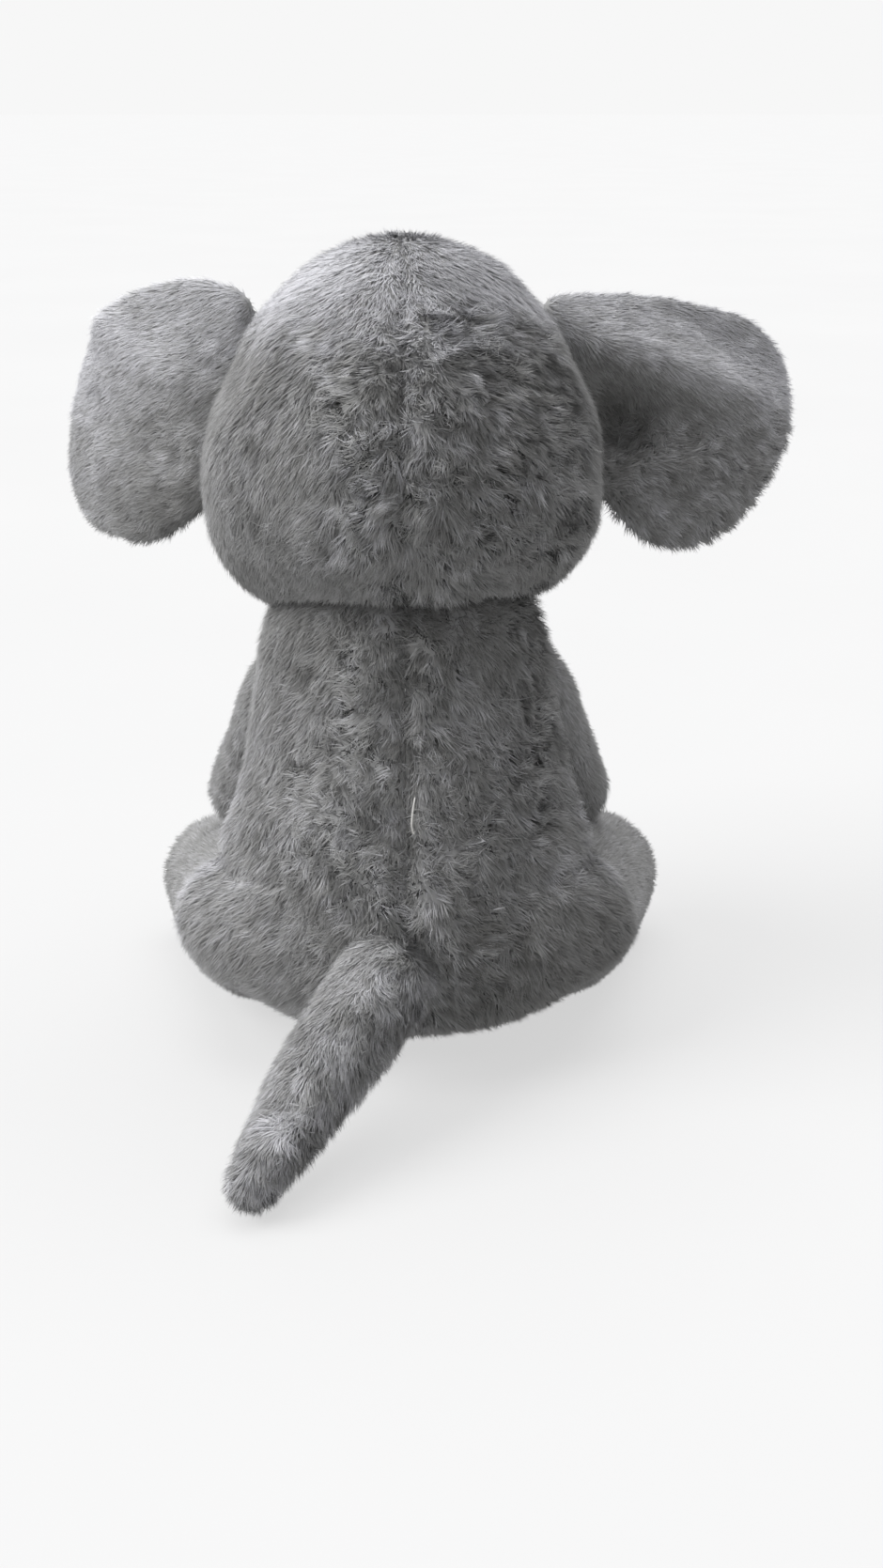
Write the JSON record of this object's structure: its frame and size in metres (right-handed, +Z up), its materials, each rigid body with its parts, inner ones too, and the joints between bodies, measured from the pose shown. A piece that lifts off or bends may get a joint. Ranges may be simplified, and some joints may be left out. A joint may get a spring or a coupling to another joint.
{
  "type": "plush elephant",
  "caption": "Seated soft toy elephant in grey plush with large side ears, a short trunk and a fat tail resting on the floor.",
  "frame": {"origin": "on the floor under the torso, in the middle of the animal's width", "axes": "+Z up; the face looks towards -Y and the tail lies towards +Y; +X is the elephant's own left"},
  "size_m": [0.2555, 0.276, 0.2833],
  "materials": {
    "plush": "long pile, matt",
    "lining": "short pile, matt",
    "stuffing": "loose white fibre",
    "eye": "gloss",
    "washer": "matt",
    "thread": "twisted thread"
  },
  "bodies": {
    "torso": {"torso_panel_left": "plush", "torso_panel_right": "plush", "belly_panel": "plush", "seat_panel": "plush", "torso_stuffing": "stuffing", "closing_thread": "thread"},
    "neck": {"neck_stuffing": "stuffing"},
    "head": {"head_panel_left": "plush", "head_panel_right": "plush", "head_stuffing": "stuffing", "eye_left": "eye", "eye_right": "eye", "eye_washer_left": "washer", "eye_washer_right": "washer"},
    "trunk_upper": {"trunk_upper": "plush", "trunk_upper_stuffing": "stuffing"},
    "trunk_lower": {"trunk_lower": "plush", "trunk_lower_stuffing": "stuffing"},
    "ear_left": {"ear_left_back": "plush", "ear_left_lining": "lining"},
    "ear_right": {"ear_right_back": "plush", "ear_right_lining": "lining"},
    "tail_root": {"tail_root_stuffing": "stuffing"},
    "tail": {"tail": "plush", "tail_stuffing": "stuffing"},
    "foreleg_left": {"foreleg_left": "plush", "foreleg_left_sole": "lining", "foreleg_left_stuffing": "stuffing"},
    "hind_leg_left": {"hind_leg_left": "plush", "hind_leg_left_sole": "lining", "hind_leg_left_stuffing": "stuffing"},
    "foreleg_right": {"foreleg_right": "plush", "foreleg_right_sole": "lining", "foreleg_right_stuffing": "stuffing"},
    "hind_leg_right": {"hind_leg_right": "plush", "hind_leg_right_sole": "lining", "hind_leg_right_stuffing": "stuffing"}
  },
  "joints": [
    {"name": "head_turn", "type": "hinge", "parent": "torso", "child": "neck", "pos_m": [0, -0.005, 0.141], "axis": [0, 0, 1], "range_deg": [-18, 18], "stiffness_Nm_per_rad": 0.6},
    {"name": "head_nod", "type": "hinge", "parent": "neck", "child": "head", "pos_m": [0, -0.005, 0.141], "axis": [1, 0, 0], "range_deg": [-12, 10], "stiffness_Nm_per_rad": 1.2},
    {"name": "ear_left_flap", "type": "hinge", "parent": "head", "child": "ear_left", "pos_m": [0.0633, -0.0277, 0.219], "axis": [-0.2079, 0, 0.9781], "range_deg": [-30, 30], "stiffness_Nm_per_rad": 0.05},
    {"name": "ear_right_flap", "type": "hinge", "parent": "head", "child": "ear_right", "pos_m": [-0.0633, -0.0277, 0.219], "axis": [-0.2079, 0, -0.9781], "range_deg": [-38, 22], "stiffness_Nm_per_rad": 0.05},
    {"name": "trunk_lift", "type": "hinge", "parent": "head", "child": "trunk_upper", "pos_m": [0, -0.065, 0.188], "axis": [-1, 0, 0], "range_deg": [-8, 28], "stiffness_Nm_per_rad": 0.15},
    {"name": "trunk_curl", "type": "hinge", "parent": "trunk_upper", "child": "trunk_lower", "pos_m": [0, -0.108, 0.145], "axis": [-1, 0, 0], "range_deg": [-8, 28], "stiffness_Nm_per_rad": 0.05},
    {"name": "foreleg_left_swing", "type": "hinge", "parent": "torso", "child": "foreleg_left", "pos_m": [0.047, -0.014, 0.124], "axis": [-1, 0, 0], "range_deg": [0, 30], "stiffness_Nm_per_rad": 0.1},
    {"name": "foreleg_right_swing", "type": "hinge", "parent": "torso", "child": "foreleg_right", "pos_m": [-0.047, -0.014, 0.124], "axis": [-1, 0, 0], "range_deg": [0, 30], "stiffness_Nm_per_rad": 0.1},
    {"name": "hind_leg_left_splay", "type": "hinge", "parent": "torso", "child": "hind_leg_left", "pos_m": [0.052, -0.012, 0.037], "axis": [0, 0, 1], "range_deg": [-4, 20], "stiffness_Nm_per_rad": 0.3},
    {"name": "hind_leg_right_splay", "type": "hinge", "parent": "torso", "child": "hind_leg_right", "pos_m": [-0.052, -0.012, 0.037], "axis": [0, 0, -1], "range_deg": [-4, 20], "stiffness_Nm_per_rad": 0.3},
    {"name": "tail_wag", "type": "hinge", "parent": "torso", "child": "tail_root", "pos_m": [0.006, 0.066, 0.046], "axis": [0, 0, 1], "range_deg": [-4, 70], "stiffness_Nm_per_rad": 0.08},
    {"name": "tail_lift", "type": "hinge", "parent": "tail_root", "child": "tail", "pos_m": [0.006, 0.066, 0.046], "axis": [0.8365, -0.548, 0], "range_deg": [0, 35], "stiffness_Nm_per_rad": 0.08}
  ],
  "couplings": [
    {"joint": "trunk_curl", "follows": "trunk_lift", "ratio": 1}
  ]
}
